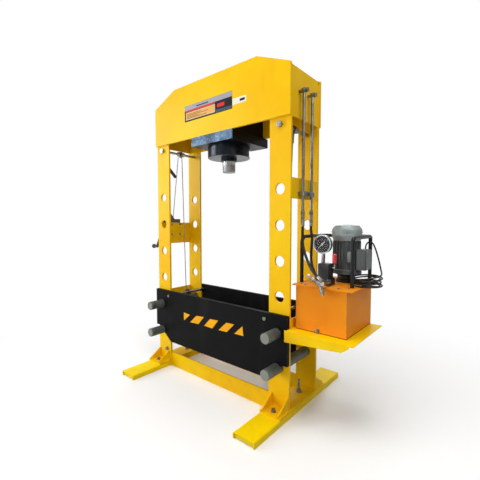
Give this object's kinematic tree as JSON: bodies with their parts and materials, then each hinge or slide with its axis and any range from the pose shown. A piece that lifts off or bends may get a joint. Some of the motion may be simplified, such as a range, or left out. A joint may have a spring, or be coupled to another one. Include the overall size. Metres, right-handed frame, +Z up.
{
  "type": "hydraulic press",
  "caption": "Upright shop press: H frame with pinned bed on a winch rope, ram cylinder in the head, electric pump unit on a side shelf with hoses and gauge",
  "frame": {"origin": "on the floor, at the middle of the overall box", "axes": "+Z up, the front (gauge and bed pins' long ends) toward -Y, the pump unit toward +X"},
  "size_m": [1.7414, 0.94, 1.973],
  "materials": {
    "frame_yellow": "semi-gloss yellow enamel",
    "foot_yellow": "semi-gloss yellow enamel",
    "slab_steel": "blue-grey steel with a sheen",
    "barrel_steel": "dark satin steel",
    "rod_chrome": "polished",
    "nose_steel": "machined bright steel",
    "bed_black": "satin black paint",
    "tie_steel": "zinc plated",
    "pin_steel": "dark turned steel",
    "pulley_steel": "turned steel",
    "rope_steel": "stranded steel",
    "winch_grey": "grey enamel",
    "gear_steel": "zinc plated",
    "black_plastic": "moulded black",
    "tank_orange": "orange enamel",
    "shelf_yellow": "semi-gloss yellow enamel",
    "motor_black": "satin black paint",
    "motor_grey": "grey hammered enamel",
    "rotor_steel": "laminated core",
    "valve_black": "black oxide",
    "lever_steel": "dark steel",
    "knob_red": "glossy red",
    "gauge_chrome": "polished bezel and dark dial",
    "needle_white": "white enamel",
    "pipe_steel": "zinc plated tube",
    "hose_rubber": "black hose",
    "coupler_nickel": "nickel plated",
    "cable_black": "black flexible cable"
  },
  "bodies": {
    "frame": {"base_plates": "frame_yellow", "upright_front_left": "frame_yellow", "upright_back_left": "frame_yellow", "upright_front_right": "frame_yellow", "upright_back_right": "frame_yellow", "tie_beams": "frame_yellow", "side_plates_left": "frame_yellow", "side_plates_right": "frame_yellow", "head_plate_front": "frame_yellow", "head_plate_back": "frame_yellow", "head_ends": "frame_yellow", "head_covers": "frame_yellow", "feet": "foot_yellow", "cylinder_slab": "slab_steel", "cylinder_barrel": "barrel_steel", "cylinder_gland": "barrel_steel", "bed_plate_front": "bed_black", "bed_plate_back": "bed_black", "bed_ties": "tie_steel", "pulley_rods": "tie_steel", "fasteners": "tie_steel", "rope_anchor": "pulley_steel", "lift_rope": "rope_steel", "winch_frame": "winch_grey", "winch_pawl": "gear_steel", "sleeved_peg": "black_plastic", "oil_tank": "tank_orange", "tank_lid": "tank_orange", "pump_shelf": "shelf_yellow", "gear_pump": "motor_black", "motor_housing": "motor_grey", "fan_cover": "motor_grey", "terminal_box": "motor_grey", "valve_block": "valve_black", "handle_frame": "valve_black", "gauge_case": "gauge_chrome", "pressure_pipes": "pipe_steel", "hose_front": "hose_rubber", "hose_back": "hose_rubber", "hose_fittings": "coupler_nickel", "power_cable": "cable_black", "cable_coil": "cable_black", "cable_plug": "cable_black"},
    "ram": {"ram": "rod_chrome", "ram_nose": "nose_steel"},
    "pin_lower_left": {"bed_pin_lower_left": "pin_steel"},
    "pin_lower_right": {"bed_pin_lower_right": "pin_steel"},
    "pin_upper_left": {"bed_pin_upper_left": "pin_steel"},
    "pin_upper_right": {"bed_pin_upper_right": "pin_steel"},
    "drum": {"winch_drum": "gear_steel"},
    "crank": {"winch_crank": "gear_steel"},
    "grip": {"winch_grip": "black_plastic"},
    "pulley": {"rope_pulley": "pulley_steel"},
    "sheave_left": {"bed_sheave_left": "pulley_steel"},
    "sheave_right": {"bed_sheave_right": "pulley_steel"},
    "lever": {"valve_lever": "lever_steel", "lever_knob": "knob_red"},
    "needle": {"gauge_needle": "needle_white"},
    "rotor": {"motor_rotor": "rotor_steel"}
  },
  "joints": [
    {"name": "ram_stroke", "type": "slide", "parent": "frame", "child": "ram", "axis": [0, 0, -1], "range_m": [0, 0.28]},
    {"name": "pin_lower_left_slide", "type": "slide", "parent": "frame", "child": "pin_lower_left", "axis": [0, -1, 0], "range_m": [0, 0.5]},
    {"name": "pin_upper_left_slide", "type": "slide", "parent": "frame", "child": "pin_upper_left", "axis": [0, -1, 0], "range_m": [0, 0.5]},
    {"name": "pin_lower_right_slide", "type": "slide", "parent": "frame", "child": "pin_lower_right", "axis": [0, -1, 0], "range_m": [0, 0.5]},
    {"name": "pin_upper_right_slide", "type": "slide", "parent": "frame", "child": "pin_upper_right", "axis": [0, -1, 0], "range_m": [0, 0.5]},
    {"name": "drum_turn", "type": "hinge", "parent": "frame", "child": "drum", "pos_m": [-0.7142, 0, 1], "axis": [1, 0, 0], "continuous": true},
    {"name": "crank_turn", "type": "hinge", "parent": "frame", "child": "crank", "pos_m": [-0.7758, 0, 1.06], "axis": [1, 0, 0], "continuous": true},
    {"name": "grip_turn", "type": "hinge", "parent": "crank", "child": "grip", "pos_m": [-0.8228, -0.07642, 0.87085], "axis": [1, 0, 0], "continuous": true},
    {"name": "pulley_turn", "type": "hinge", "parent": "frame", "child": "pulley", "pos_m": [-0.5942, 0, 1.58], "axis": [0, 1, 0], "continuous": true},
    {"name": "sheave_left_turn", "type": "hinge", "parent": "frame", "child": "sheave_left", "pos_m": [-0.5142, 0, 0.528], "axis": [0, 1, 0], "continuous": true},
    {"name": "sheave_right_turn", "type": "hinge", "parent": "frame", "child": "sheave_right", "pos_m": [0.3418, 0, 0.528], "axis": [0, 1, 0], "continuous": true},
    {"name": "lever_turn", "type": "hinge", "parent": "frame", "child": "lever", "pos_m": [0.6823, -0.0374, 0.825], "axis": [1, 0, 0], "range_deg": [-20, 20]},
    {"name": "needle_turn", "type": "hinge", "parent": "frame", "child": "needle", "pos_m": [0.6188, -0.052, 0.948], "axis": [0, 1, 0], "range_deg": [0, 270]},
    {"name": "rotor_turn", "type": "hinge", "parent": "frame", "child": "rotor", "pos_m": [0.6838, 0.115, 0.9], "axis": [0, 0, 1], "continuous": true}
  ],
  "couplings": [
    {"joint": "crank_turn", "follows": "drum_turn", "ratio": -3}
  ]
}
